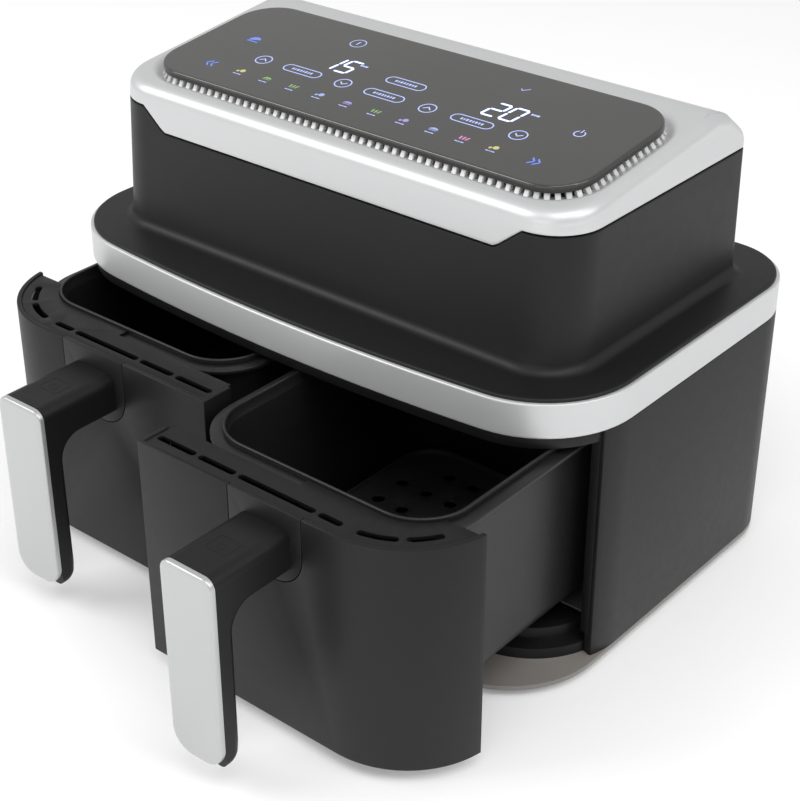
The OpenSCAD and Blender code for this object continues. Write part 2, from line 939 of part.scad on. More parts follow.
module top_frame(side) {
    in_drawer(side) color(charcoal) {
        difference() {
            slab(frame_z, frame_t) difference() {
                intersection() {
                    front_plan(skin + fit_gap);
                    union() {
                        translate([inner_x + skin, front_y]) square([body_w, web_y + 3 - front_y]);
                        translate([cavity_x, front_y]) square([body_w, wrap_end - 2 - front_y]);
                    }
                }
                tub_plan(-fit_gap);
            }
            frame_slots();
        }
        slab(step_clear_z, frame_z - step_clear_z) intersection() {
            front_plan(skin + fit_gap);
            translate([inner_x + skin, web_y]) square([liner_x1 - inner_x - skin, flange_y0 - web_y]);
        }
    }
}

// Slots along the straight front, then round the outer corner
module frame_slots() {
    run = half_w - drawer_corner;
    for (share = frame_slot_shares)
        straight_slot(share[0] * run, share[1] * run, front_y + slot_inset);
    translate([run, front_y + drawer_corner, 0])
        for (turn = frame_slot_turns)
            curved_slot(drawer_corner - slot_inset, turn[0], turn[1]);
}

module straight_slot(x0, x1, y) {
    slab(frame_z - 1, frame_t + 2) {
        translate([x0, y - slot_w / 2]) square([x1 - x0, slot_w]);
        for (x = [x0, x1])
            translate([x, y]) circle(slot_cap_r);
    }
}

module curved_slot(r, a0, a1) {
    reach = 2 * r;
    slab(frame_z - 1, frame_t + 2) {
        intersection() {
            difference() {
                circle(r + slot_w / 2);
                circle(r - slot_w / 2);
            }
            polygon([[0, 0], [reach * cos(a0), reach * sin(a0)], [reach * cos(a1), reach * sin(a1)]]);
        }
        for (a = [a0, a1])
            translate([r * cos(a), r * sin(a)]) circle(slot_cap_r);
    }
}

module drawer_tub(side) {
    in_drawer(side) color(soft_black) difference() {
        union() {
            slab(tub_z, tub_h) tub_plan();
            slab(flange_z, flange_t) flange_plan();
        }
        slab(tub_z + tub_wall, tub_h) tub_plan(tub_wall);
    }
}

// Crisper plate

function plate_inset() = tub_wall + plate_gap;

module crisper_plate(side) {
    inset = plate_inset();
    w = wall_half - inset;
    mid_y = (wall_y0 + wall_y1) / 2;
    d = (wall_y1 - wall_y0) / 2 - inset;
    in_drawer(side) color(soft_black) difference() {
        union() {
            slab(plate_z, plate_t) tub_plan(inset);
            slab(plate_z, plate_t + 3) difference() {
                tub_plan(inset);
                tub_plan(inset + 1.6);
            }
        }
        for (i = [-3 : 3], j = [-3 : 3])
            if (abs(i) + abs(j) > 0 && abs(i) + abs(j) < 6)
                translate([cavity_x + i * w / 3.9, mid_y + j * d / 3.9, plate_z - 1])
                    cylinder(r = plate_hole_r, h = 10);
        translate([cavity_x, mid_y, plate_z - 1]) cylinder(r = 10, h = 10);
    }
}

module plate_bumpers(side) {
    inset = plate_inset() + 8;
    in_drawer(side) color(rubber)
        for (x = [-1, 1], y = [wall_y0 + inset + 8, wall_y1 - inset - 8])
            translate([cavity_x + x * (wall_half - inset - 8), y, tub_z + tub_wall + fit_gap])
                cylinder(r = 5, h = plate_lift - fit_gap);
}

// Handles

// Side view of the handle, with y forward and z up
module handle_profile() {
    back = neck_y;
    front = facing_y + facing_t;
    low = handle_top - grip_h;
    under = handle_top - neck_h;
    r = handle_fillet;
    heel = 8;
    difference() {
        union() {
            translate([front, low]) square([back - front, grip_h]);
            translate([front, under]) square([front_y - front, neck_h]);
            translate([back, under - r]) square([r, r]);
        }
        translate([back + r, under - r]) circle(r);
        translate([back - heel, low]) difference() {
            translate([0, -heel]) square([heel + 2, 2 * heel]);
            translate([0, heel]) circle(heel);
        }
    }
}

module handle(side) {
    in_drawer(side) color(soft_black) difference() {
        translate([handle_x - handle_w / 2, 0, 0]) rotate([90, 0, 90]) linear_extrude(handle_w)
            handle_profile();
        handle_bores(screw_r + shaft_gap);
    }
}

module handle_facing(side) {
    low = handle_top - grip_h;
    in_drawer(side) color(silver)
        translate([handle_x, facing_y + facing_t, 0]) rotate([90, 0, 0]) linear_extrude(facing_t)
            round_plan(handle_w, low, handle_top, facing_round[0], facing_round[1]);
}

module handle_screws(side) {
    in_drawer(side) color(steel)
        for (x = [-1, 1])
            translate([handle_x + x * screw_spread / 2, 0, handle_top - neck_h / 2]) {
                along_y(front_y - 14, front_y + skin + insert_back, screw_r);
                along_y(front_y + skin + insert_back, front_y + skin + insert_back + 2.5, 4);
            }
}

base_pan();
rubber_feet();
outer_shell();
front_bezel();
trim_band();
upper_cover();
top_trim();
panel_tray();
vent_grille();
control_glass();
control_board();
display_modules();
touch_springs();
power_board();
board_bracket();
exhaust_grilles();
cord_gland();
case_screws();
temperature_probes();
thermal_cutouts();
drawer_sensors();
cavity_liner("left");  // cavity_liner_left
cavity_liner("right");  // cavity_liner_right
runner_rails("left");  // runner_rails_left
runner_rails("right");  // runner_rails_right
heat_dome("left");  // heat_dome_left
heat_dome("right");  // heat_dome_right
heater("left");  // heater_left
heater("right");  // heater_right
heater_guard("left");  // heater_guard_left
heater_guard("right");  // heater_guard_right
motor("left");  // motor_left
motor("right");  // motor_right
motor_bracket("left");  // motor_bracket_left
motor_bracket("right");  // motor_bracket_right
hot_fan("left");  // hot_fan_left
hot_fan("right");  // hot_fan_right
cooling_fan("left");  // cooling_fan_left
cooling_fan("right");  // cooling_fan_right
fan_shaft("left");  // fan_shaft_left
fan_shaft("right");  // fan_shaft_right
drawer_front("left");  // drawer_front_left
drawer_front("right");  // drawer_front_right
top_frame("left");  // top_frame_left
top_frame("right");  // top_frame_right
drawer_tub("left");  // drawer_tub_left
drawer_tub("right");  // drawer_tub_right
handle_insert("left");  // handle_insert_left
handle_insert("right");  // handle_insert_right
handle("left");  // handle_left
handle("right");  // handle_right
handle_facing("left");  // handle_facing_left
handle_facing("right");  // handle_facing_right
handle_screws("left");  // handle_screws_left
handle_screws("right");  // handle_screws_right
crisper_plate("left");  // crisper_plate_left
crisper_plate("right");  // crisper_plate_right
plate_bumpers("left");  // plate_bumpers_left
plate_bumpers("right");  // plate_bumpers_right
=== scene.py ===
import json
import math
import bmesh
import bpy
from mathutils import Matrix, Vector


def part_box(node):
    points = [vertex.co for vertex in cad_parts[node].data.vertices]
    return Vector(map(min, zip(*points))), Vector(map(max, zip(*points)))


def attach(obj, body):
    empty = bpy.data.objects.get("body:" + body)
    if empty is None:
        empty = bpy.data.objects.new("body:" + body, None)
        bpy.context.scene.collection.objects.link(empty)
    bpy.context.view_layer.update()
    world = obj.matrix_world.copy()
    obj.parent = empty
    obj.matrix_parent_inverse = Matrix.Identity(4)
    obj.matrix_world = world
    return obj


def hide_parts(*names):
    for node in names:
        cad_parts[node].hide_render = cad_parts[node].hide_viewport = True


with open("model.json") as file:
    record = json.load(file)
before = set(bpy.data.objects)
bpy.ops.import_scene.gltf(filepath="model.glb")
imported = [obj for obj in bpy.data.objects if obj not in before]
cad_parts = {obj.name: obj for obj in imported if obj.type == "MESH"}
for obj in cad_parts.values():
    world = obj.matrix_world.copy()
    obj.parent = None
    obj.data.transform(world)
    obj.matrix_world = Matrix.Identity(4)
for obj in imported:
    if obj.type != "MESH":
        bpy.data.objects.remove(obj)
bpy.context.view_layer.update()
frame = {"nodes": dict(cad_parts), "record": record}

print("frame loaded:", len(frame["nodes"]), "nodes")
mm = 0.001
nearly = 0.01 * mm
scene = bpy.context.scene


# a wrapped socket takes part in plain expressions
class Wire:
    def __init__(self, finish, socket):
        self.finish = finish
        self.socket = socket

    def math(self, operation, first, second):
        return self.finish.node("ShaderNodeMath", {"operation": operation}, {0: first, 1: second})

    def __add__(self, other):
        return self.math("ADD", self, other)

    def __radd__(self, other):
        return self.math("ADD", other, self)

    def __sub__(self, other):
        return self.math("SUBTRACT", self, other)

    def __mul__(self, other):
        return self.math("MULTIPLY", self, other)

    def __gt__(self, other):
        return self.math("GREATER_THAN", self, other)


class Finish:
    def __init__(self, name, **uniform):
        self.material = bpy.data.materials.new(name)
        self.material.use_nodes = True
        self.tree = self.material.node_tree
        self.shader = self.tree.nodes["Principled BSDF"]
        for socket, value in uniform.items():
            self.shader.inputs[socket.replace("_", " ")].default_value = value

    def node(self, kind, settings=None, inputs=None, output=0):
        made = self.tree.nodes.new(kind)
        for key, value in (settings or {}).items():
            if key == "stops":
                while len(made.color_ramp.elements) < len(value):
                    made.color_ramp.elements.new(0.5)
                for element, (place, shade) in zip(made.color_ramp.elements, value):
                    element.position = place
                    element.color = shade
            else:
                setattr(made, key, value)
        for key, value in (inputs or {}).items():
            if isinstance(value, Wire):
                self.tree.links.new(value.socket, made.inputs[key])
            else:
                made.inputs[key].default_value = value
        return Wire(self, made.outputs[output])

    def place(self):
        return self.node("ShaderNodeTexCoord", output="Object")

    def noise(self, scale, detail=2.0, rough=0.5, stretch=None):
        spot = self.place()
        if stretch:
            spot = self.node("ShaderNodeMapping", None, {"Vector": spot, "Scale": stretch})
        return self.node("ShaderNodeTexNoise", None,
                         {"Vector": spot, "Scale": scale, "Detail": detail, "Roughness": rough})

    def ramp(self, value, stops):
        return self.node("ShaderNodeValToRGB", {"stops": stops}, {"Fac": value})

    def blend(self, mask, shadeA, shadeB):
        return self.node("ShaderNodeMix", {"data_type": "RGBA"}, {0: mask, 6: shadeA, 7: shadeB}, 2)

    def bump(self, height, depth, strength=1.0):
        return self.node("ShaderNodeBump", None,
                         {"Height": height, "Distance": depth, "Strength": strength})

    def feed(self, **links):
        for socket, wire in links.items():
            self.tree.links.new(wire.socket, self.shader.inputs[socket.replace("_", " ")])
        return self.material


def grey(level, warmth=0.0):
    return (level * (1 + warmth), level, level * (1 - warmth), 1.0)


def mouldedPlastic(name, level, rough, grain=0.00002, grainScale=2600, coolness=0.02):
    finish = Finish(name, IOR=1.4, Specular_IOR_Level=0.42)
    cloud = finish.noise(9, 3)
    speck = finish.noise(grainScale, 1)
    scuff = finish.noise(140, 4, 0.65)
    tone = finish.blend(cloud, grey(level * 0.9, -coolness), grey(level * 1.12, -coolness))
    tone = finish.blend(speck * 0.35, tone, grey(level * 1.5, -coolness))
    return finish.feed(Base_Color=tone, Roughness=(scuff - 0.5) * 0.12 + rough,
                       Normal=finish.bump(speck + scuff * 0.4, grain))


def satinSilver(name, level, rough, metal):
    finish = Finish(name, IOR=1.5, Coat_Roughness=0.3)
    flake = finish.noise(5200, 0)
    cloud = finish.noise(22, 3)
    flow = finish.noise(60, 2, 0.5, (1, 1, 5))
    tone = finish.blend(flake, grey(level * 0.93, -0.008), grey(level * 1.05, -0.008))
    return finish.feed(Base_Color=tone, Metallic=cloud * 0.06 + metal,
                       Roughness=(flow - 0.5) * 0.06 + rough + (flake - 0.5) * 0.08,
                       Coat_Weight=cloud * 0.1 + 0.15,
                       Normal=finish.bump(flake, 0.000006))


def rolledMetal(name, level, rough, warmth=0.0, metal=1.0):
    finish = Finish(name)
    grainLine = finish.noise(500, 3, 0.6, (1, 12, 1))
    cloud = finish.noise(30, 4, 0.6)
    tone = finish.blend(cloud, grey(level * 0.85, warmth), grey(level * 1.1, warmth * 0.5))
    return finish.feed(Base_Color=tone, Metallic=cloud * 0.05 + (metal - 0.05),
                       Roughness=grainLine * 0.14 + rough, Normal=finish.bump(grainLine, 0.00001))


def touchGlass():
    finish = Finish("touchGlass", IOR=1.52, Coat_Roughness=0.03, Coat_IOR=1.5)
    smudge = finish.noise(26, 5, 0.62)
    haze = finish.noise(7, 2)
    dust = finish.noise(1500, 0) > 0.74
    tone = finish.blend(haze, grey(0.022, 0.05), grey(0.034, 0.06))
    tone = finish.blend(dust * 0.15, tone, grey(0.16, 0.03))
    return finish.feed(Base_Color=tone, Roughness=smudge * 0.1 + 0.14, Coat_Weight=smudge * 0.1 + 0.4)


def nonStick(name, level):
    finish = Finish(name, IOR=1.45, Specular_IOR_Level=0.4)
    speck = finish.noise(3200, 0)
    orange = finish.noise(900, 2)
    wear = finish.noise(45, 5, 0.7)
    tone = finish.blend((speck > 0.68) * 0.5, grey(level), grey(level * 3 + 0.02))
    return finish.feed(Base_Color=tone, Roughness=wear * 0.16 + 0.3,
                       Normal=finish.bump(orange, 0.00005))


def clearRing():
    finish = Finish("clearRing", IOR=1.49)
    milk = finish.noise(120, 3)
    tone = finish.blend(milk, grey(0.55), grey(0.68))
    return finish.feed(Base_Color=tone, Roughness=milk * 0.15 + 0.22, Coat_Weight=milk * 0.2 + 0.4)


def glow(name, shade, strength):
    finish = Finish(name, Emission_Strength=strength, Roughness=0.4)
    edge = finish.noise(420, 2)
    tone = finish.blend(edge * 0.5, shade, tuple(min(1.0, c * 1.25 + 0.05) for c in shade[:3]) + (1.0,))
    return finish.feed(Base_Color=tone, Emission_Color=tone)


def circuitBoard():
    finish = Finish("circuitBoard", IOR=1.5)
    trace = finish.noise(260, 1, 0.4, (1, 6, 1)) > 0.56
    tone = finish.blend(trace, (0.012, 0.07, 0.03, 1), (0.03, 0.16, 0.07, 1))
    return finish.feed(Base_Color=tone, Roughness=trace * 0.15 + 0.3)


def heatTint():
    finish = Finish("heatTint", Metallic=1.0)
    bands = finish.noise(60, 3, 0.6)
    tone = finish.ramp(bands, [(0.3, (0.32, 0.3, 0.28, 1)), (0.55, (0.4, 0.33, 0.24, 1)),
                               (0.75, (0.24, 0.22, 0.26, 1))])
    return finish.feed(Base_Color=tone, Roughness=bands * 0.2 + 0.25)


def toePlate():
    finish = Finish("toePlate", IOR=1.5)
    haze = finish.noise(20, 4)
    speck = finish.noise(2000, 1)
    tone = finish.blend(haze, grey(0.16, 0.06), grey(0.24, 0.08))
    return finish.feed(Base_Color=tone, Roughness=haze * 0.1 + 0.2, Normal=finish.bump(speck, 0.00001))


def palePlain(name, level, lit=0.0):
    finish = Finish(name, IOR=1.3, Emission_Color=(1, 1, 1, 1), Emission_Strength=lit)
    cloud = finish.noise(3, 2)
    return finish.feed(Base_Color=finish.blend(cloud, grey(level * 0.985), grey(level)),
                       Roughness=cloud * 0.05 + 0.85)


finishes = {
    "charcoal": mouldedPlastic("charcoalShell", 0.007, 0.46),
    "soft_black": mouldedPlastic("softBlack", 0.006, 0.44, 0.000015),
    "silver_cover": satinSilver("satinSilver", 0.6, 0.4, 0.45),
    "nonstick": nonStick("nonStick", 0.01),
    "inner_steel": rolledMetal("innerSteel", 0.5, 0.28),
    "glass_dark": touchGlass(),
    "rubber_black": mouldedPlastic("rubberBlack", 0.016, 0.75, 0.00006, 1400),
    "circuit_green": circuitBoard(),
    "display_pale": palePlain("displayPale", 0.6),
    "heater_steel": heatTint(),
    "screw_steel": rolledMetal("screwSteel", 0.62, 0.2),
    "motor_steel": rolledMetal("motorSteel", 0.45, 0.35),
    "fan_alloy": rolledMetal("fanAlloy", 0.66, 0.3),
    "liner_steel": rolledMetal("linerSteel", 0.3, 0.34, 0.0, 0.8),
}
# a darker copy of the satin silver for the handle facings: the darker base colour is painted shade, while
# the higher metallic and lower roughness are a change of finish
facingSilverPaintedShade = satinSilver("facingSilverPaintedShade", 0.5, 0.34, 0.6)
ringFinish = clearRing()
# a lighter grey for the vent grille: painted light that makes up for the shade cast by the glass's overhang
ventGrillePaintedLight = mouldedPlastic("ventGrillePaintedLight", 0.09, 0.5)
# a lighter copy of the tub's non-stick for the crisper plate: painted light, so that the plate shows in the
# shade inside the tub
plateNonStickPaintedLight = nonStick("plateNonStickPaintedLight", 0.03)
toeFinish = toePlate()
slotOf = {row["node"]: row["material_slot"] for row in frame["record"]["subparts"]}
bodyOf = {node: body for body, nodes in frame["record"]["behaviour"]["bodies"].items() for node in nodes}
print("finishes made:", len(finishes))


# carried-over nodes keep their shape and take the better finish
for node, piece in frame["nodes"].items():
    for slot in piece.material_slots:
        slot.material = finishes[slotOf[node]]


def finishPiece(name, bm, body, slot, material=None, replaced=(), sharp=32, recalc=True):
    if recalc:
        bmesh.ops.recalc_face_normals(bm, faces=bm.faces)
    mesh = bpy.data.meshes.new(name)
    bm.to_mesh(mesh)
    bm.free()
    for face in mesh.polygons:
        face.use_smooth = True
    mesh.set_sharp_from_angle(angle=math.radians(sharp))
    piece = bpy.data.objects.new(name, mesh)
    scene.collection.objects.link(piece)
    mesh.materials.append(material or finishes[slot])
    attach(piece, body)
    if replaced:
        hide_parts(*replaced)
    return piece


def hardEdges(bm, degrees):
    return [e for e in bm.edges if e.is_manifold and e.calc_face_angle(0) > math.radians(degrees)]


def softened(node, width, segments=2, material=None):
    # a merged copy of the node with its hard edges rounded over
    bm = bmesh.new()
    bm.from_mesh(frame["nodes"][node].data)
    bmesh.ops.remove_doubles(bm, verts=bm.verts, dist=2e-6)
    bmesh.ops.dissolve_limit(bm, angle_limit=math.radians(0.4), verts=bm.verts, edges=bm.edges)
    bmesh.ops.bevel(bm, geom=hardEdges(bm, 38), offset=width, segments=segments, profile=0.5, affect="EDGES",
                    clamp_overlap=True, material=-1)
    bmesh.ops.triangulate(bm, faces=[f for f in bm.faces if len(f.verts) > 4])
    return finishPiece(node + "_soft", bm, bodyOf[node], slotOf[node], material, (node,), 30, False)


def vertsOf(made):
    return [g for g in made["geom"] if isinstance(g, bmesh.types.BMVert)]


def extrudeFaces(bm, faces, along):
    # the faces are extruded and their copies moved
    made = bmesh.ops.extrude_face_region(bm, geom=faces)
    bmesh.ops.translate(bm, vec=along, verts=vertsOf(made))


def closedRow(bm, points):
    # vertices at the points, joined by edges into a loop
    row = [bm.verts.new(point) for point in points]
    edges = [bm.edges.new((row[i - 1], row[i])) for i in range(len(row))]
    return row, edges


def growRings(bm, rings):
    # each ring is a closed row of points, and the edges of one are extruded into the next
    row, edges = closedRow(bm, rings[0])
    first = row
    for ring in rings[1:]:
        fresh = set(vertsOf(bmesh.ops.extrude_edge_only(bm, edges=edges)))
        row = [next(e.other_vert(v) for e in v.link_edges if e.other_vert(v) in fresh) for v in row]
        for vert, point in zip(row, ring):
            vert.co = point
        edges = [bm.edges.get((row[i - 1], row[i])) for i in range(len(row))]
    return first, row


def solidOfRings(rings):
    # the first and the last ring are closed with a face
    bm = bmesh.new()
    for ring in growRings(bm, rings):
        bm.faces.new(ring)
    return bm


def shellOfRings(rings):
    bm = bmesh.new()
    growRings(bm, rings)
    return bm


def sweep(steps, first=0, degrees=90):
    # sine and cosine at even steps of a turn
    angles = [math.radians(degrees * k / steps) for k in range(first, steps + 1)]
    return [(math.sin(a), math.cos(a)) for a in angles]


def arc(cx, cy, r, start, end, steps):
    return [(cx + r * math.cos(math.radians(start + (end - start) * k / steps)),
             cy + r * math.sin(math.radians(start + (end - start) * k / steps))) for k in range(steps + 1)]


def spread(a, b, steps):
    return [a + (b - a) * k / steps for k in range(1, steps)]


def plan(halfWidth, front, rear, rFront, rRear, frontStops, turns=14, sideSteps=10):
    # outline seen from above, from the front left corner's side round the front
    pts = arc(-halfWidth + rFront, front + rFront, rFront, 180, 270, turns)
    pts += [(x, front) for x in frontStops]
    pts += arc(halfWidth - rFront, front + rFront, rFront, 270, 360, turns)
    pts += [(halfWidth, y) for y in spread(front + rFront, rear - rRear, sideSteps)]
    pts += arc(halfWidth - rRear, rear - rRear, rRear, 0, 90, turns)
    pts += [(-x, rear) for x in frontStops]
    pts += arc(-halfWidth + rRear, rear - rRear, rRear, 90, 180, turns)
    pts += [(-halfWidth, y) for y in spread(rear - rRear, front + rFront, sideSteps)]
    return pts


def smoothStep(t):
    t = min(1.0, max(0.0, t))
    return t * t * (3 - 2 * t)


# levels and outlines of the case, from the frame
bandLow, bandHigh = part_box("trim_band")
topLow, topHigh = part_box("top_trim")
glassLow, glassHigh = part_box("control_glass")
caseRear = bandHigh.y
bandFront = bandLow.y
halfBody = bandHigh.x

caseShape = {
    "cornerFront": 62 * mm,   # front corner radius of the silver band
    "cornerRear": 44 * mm,    # rear corner radius
    "bow": 7 * mm,            # how far the front bulges in its middle
    "bandEdge": 0.9 * mm,     # rounding along the band's two edges
    "bandWall": 3.5 * mm,
    "shoulderInset": 2.2 * mm,
    "shoulderEdge": 1 * mm,
    "shoulderRise": 0.8 * mm,  # the shoulder climbs slightly towards the tower
    "towerCorner": 30 * mm,   # front corner radius of the tower
    "towerCornerRear": 8 * mm,
    "fillet": 6 * mm,         # hollow curve where the tower meets the shoulder
    "lean": 4.0 * mm,         # how far the tower's front leans back over its height
    "sideLean": 1.0 * mm,     # how far each side leans in over its height
    "rimLean": 20,            # how quickly the silver rim leans in above the split
    "waveHalf": 125 * mm,     # half width of the part of the silver's lower edge that drops
    "waveSlope": 17 * mm,     # length of the slope at each end of it
    "waveDrop": 13.5 * mm,
    "gap": 1.1 * mm,          # shadow line under the silver top
    "deckTilt": 6.4,          # degrees
    "ridge": 6.5 * mm,        # rounding of the silver top's ridge
    "rollLength": 36 * mm,    # stretch over which the deck rolls down towards the rear
    "rollDrop": 27 * mm,
    "rim": 11.5 * mm,         # silver height at the front, above the split
    "recess": 3.8 * mm,       # depth of the trough that the glass stands in
    "troughWide": 7.5 * mm,   # distance from the glass's edge to the trough's upper edge
}
rimTop = topLow.z + caseShape["waveDrop"] + caseShape["rim"]
splitZ = topLow.z + caseShape["waveDrop"]
towerFront, towerRear = topLow.y, topHigh.y
halfTower = topHigh.x
footZ = bandHigh.z + 2 * mm
tiltSlope = math.tan(math.radians(caseShape["deckTilt"]))


def bodyOutline(inset, turns=14, sideSteps=10, frontSteps=30):
    # the bowed front runs smoothly into each front corner
    bow = caseShape["bow"]
    flatHalf = halfBody - caseShape["cornerFront"]
    bowR = (flatHalf ** 2 + bow * bow) / (2 * bow)
    r = caseShape["cornerFront"]
    cy = bowR - math.sqrt((bowR - r) ** 2 - flatHalf ** 2)
    swing = math.degrees(math.asin(flatHalf / (bowR - r)))
    half, rr = halfBody - inset, caseShape["cornerRear"] - inset
    pts = arc(-flatHalf, bandFront + cy, r - inset, 180, 270 - swing, turns)
    fan = arc(0, bandFront + bowR, bowR - inset, 270 - swing, 270 + swing, frontSteps)
    pts += fan[1:-1]
    pts += arc(flatHalf, bandFront + cy, r - inset, 270 + swing, 360, turns)
    pts += [(half, y) for y in spread(bandFront + cy, caseRear - inset - rr, sideSteps)]
    pts += arc(half - rr, caseRear - inset - rr, rr, 0, 90, turns)
    pts += [(x, caseRear - inset) for x in spread(half - rr, -half + rr, frontSteps)]
    pts += arc(-half + rr, caseRear - inset - rr, rr, 90, 180, turns)
    pts += [(-half, y) for y in spread(caseRear - inset - rr, bandFront + cy, sideSteps)]
    return pts


# points along the front: an even row, and closer ones where the wave bends
waveNear = caseShape["waveHalf"]
waveFar = waveNear + caseShape["waveSlope"]
waveStops = [waveNear + shift * mm for shift in (-4, -1, 2.5)] + [waveFar - 2.5 * mm, waveFar - 0.2 * mm]
frontStops = [x * 10 * mm for x in range(-11, 12)]
frontStops += [side * x for side in (-1, 1) for x in waveStops]
frontStops = sorted(frontStops)
frontCount = len(frontStops) + 1


def towerOutline(inset, leaned=0.0):
    # leaned runs from 0 at the shoulder to 1 at the split, and past 1 on the silver rim
    lean = caseShape["lean"] * (1 - leaned)
    side = caseShape["sideLean"] * (1 - leaned)
    rFront = max(caseShape["towerCorner"] - inset, 2 * mm)
    rRear = max(caseShape["towerCornerRear"] - inset, 1 * mm)
    return plan(halfTower + side - inset, towerFront - lean + inset, towerRear - inset, rFront, rRear,
                frontStops)


def leanAt(z):
    share = (z - footZ) / (splitZ - footZ)
    return share + caseShape["rimLean"] * max(0.0, share - 1) ** 2


def leanedRing(inset, heights):
    # an outline whose points each lean by their own height
    foot, head = towerOutline(inset, 0), towerOutline(inset, 1)
    ring = []
    for (fx, fy), (hx, hy), z in zip(foot, head, heights):
        share = leanAt(z)
        ring.append((fx + (hx - fx) * share, fy + (hy - fy) * share, z))
    return ring


def waveDepth(x, y):
    # how far the silver's lower edge drops in the middle of the front
    if y > towerFront + caseShape["towerCorner"]:
        return 0.0
    past = (abs(x) - caseShape["waveHalf"]) / caseShape["waveSlope"]
    return caseShape["waveDrop"] * (1 - min(1.0, max(0.0, past)))


def deckHeight(y):
    # the deck's slope, rolled over towards the rear
    roll = max(0.0, 1 - (towerRear - y) / caseShape["rollLength"])
    return rimTop + (y - towerFront) * tiltSlope - caseShape["rollDrop"] * roll ** 1.8


def at(points, z):
    return [(x, y, z) for x, y in points]


def splitLine(under):
    # height of the joint between the tower and the silver top, all round
    return [splitZ - waveDepth(x, y) - under for x, y in towerOutline(0, 1.0)]


def buildBand():
    e = caseShape["bandEdge"]
    wall = caseShape["bandWall"]
    low, high = bandLow.z, bandHigh.z
    rings = [at(bodyOutline(wall), low)]
    rings += [at(bodyOutline(e * (1 - sin)), low + e * (1 - cos)) for sin, cos in sweep(4)]
    rings += [at(bodyOutline(0), low + 1.6 * e), at(bodyOutline(0), high - 1.6 * e)]
    rings += [at(bodyOutline(e * (1 - cos)), high - e * (1 - sin)) for sin, cos in sweep(4)]
    rings += [at(bodyOutline(wall), high), at(bodyOutline(wall), low)]
    bm = shellOfRings(rings)
    bmesh.ops.remove_doubles(bm, verts=bm.verts, dist=1e-6)
    return finishPiece("silverBand", bm, "body", "silver_cover", None, ("trim_band",), 40)


def buildTower():
    c = caseShape
    inset, edge = c["shoulderInset"], c["shoulderEdge"]
    fillet, gap = c["fillet"], c["gap"]
    level = footZ + c["shoulderRise"]

    def shoulder(extra, z):
        return at(bodyOutline(inset + extra, frontSteps=frontCount), z)

    root = bandHigh.z - 1 * mm
    rings = [shoulder(2 * mm, root), shoulder(0, root), shoulder(0, footZ - edge)]
    rings += [shoulder(edge * (1 - cos), footZ - edge * (1 - sin)) for sin, cos in sweep(3, 1)]
    rings.append(shoulder(2.2 * mm, footZ + 0.05 * mm))
    rings.append(at(towerOutline(-fillet - 1.5 * mm), footZ + c["shoulderRise"] * 0.95))
    rings.append(at(towerOutline(-fillet), level))
    rings += [at(towerOutline(-fillet * (1 - sin)), level + fillet * (1 - cos))
              for sin, cos in sweep(8, 1, 84)]
    wallFoot = level + fillet
    for share in (0.1, 0.35, 0.6, 0.85):
        heights = [wallFoot + share * (z - wallFoot) for z in splitLine(gap + 1.2 * mm)]
        rings.append(leanedRing(0, heights))
    for inward, under in ((0, 1.2), (0, 0.5), (0.15, 0.15), (0.5, 0), (2.6, 0)):
        rings.append(leanedRing(inward * mm, splitLine(gap + under * mm)))
    rings.append(leanedRing(2.6 * mm, splitLine(-2 * mm)))
    return finishPiece("towerCover", shellOfRings(rings), "body", "charcoal", None, ("upper_cover",), 40)


def overGlass(out, down):
    # an outline that follows the glass at a distance, sunk into the deck
    corner = max(panelCorner + out, 2 * mm)
    stops = [x * 0.9 for x in frontStops]
    pts = plan(glassHigh.x + out, deckFront - out, deckRear + out, corner, corner, stops)
    return [(x, y, deckHeight(y) - down) for x, y in pts]


def buildSilverTop():
    c = caseShape
    r, recess, trough = c["ridge"], c["recess"], c["troughWide"]
    lowerEdge = [(2.4, -1), (2.4, 0), (0.4, 0), (0.1, -0.15), (0, -0.5)]
    rings = [leanedRing(inset * mm, splitLine(under * mm)) for inset, under in lowerEdge]
    foot = splitLine(-0.5 * mm)
    crest = [deckHeight(y) - r for x, y in towerOutline(0, 1.0)]
    for share in (0.12, 0.3, 0.5, 0.7, 0.88):
        rings.append(leanedRing(0, [low + (high - low) * share for low, high in zip(foot, crest)]))
    crestLean = leanAt(rimTop - r)
    for turn in (0, 6, 12, 20, 30, 42, 54, 66, 78, 90):
        a = math.radians(turn)
        pts = towerOutline(r * (1 - math.cos(a)), crestLean)
        rings.append([(x, y, deckHeight(y) - r * (1 - math.sin(a))) for x, y in pts])
    brink, ridge = overGlass(trough, 0), rings[-1]
    for share in (0.08, 0.18, 0.3, 0.42, 0.55, 0.7, 0.85):
        pts = [(x + (bx - x) * share, y + (by - y) * share) for (x, y, _), (bx, by, _) in zip(ridge, brink)]
        rings.append([(x, y, deckHeight(y)) for x, y in pts])
    rings.append(brink)
    rings += [overGlass(trough * (1 - step / 8), recess * smoothStep(step / 8)) for step in range(1, 9)]
    rings += [overGlass(-12 * mm, recess), overGlass(-12 * mm, recess + 2 * mm)]
    return finishPiece("silverTop", shellOfRings(rings), "body", "silver_cover", None, ("top_trim",), 30)


# glass frame: u across, v up the deck, w out of the glass
tilt = math.radians(caseShape["deckTilt"])
glassThick = 4.4 * mm
glassOrigin = Vector((0, glassLow.y, glassLow.z + math.cos(tilt) * glassThick))
deckTurn = Matrix.Translation(glassOrigin) @ Matrix.Rotation(tilt, 4, "X")
glassLift = 10 * mm       # from the trough's floor to the top of the glass
panelCorner = 26 * mm
glassDepth = (glassHigh.y - glassLow.y - math.sin(tilt) * glassThick) / math.cos(tilt)
deckFront = glassOrigin.y + glassLift * math.sin(tilt)
deckRear = deckFront + glassDepth * math.cos(tilt)

buildBand()
buildTower()
buildSilverTop()
print("case covers made")


# the panel's own pieces are made in the glass's frame and turned into place
panel = {
    "edge": 1.3 * mm,       # rounding of the glass's upper edge
    "ribPitch": 6 * mm,     # the vent ribs stand round the glass at this pitch
    "ribWide": 3.1 * mm,
    "ribEdge": 0.35 * mm,
}
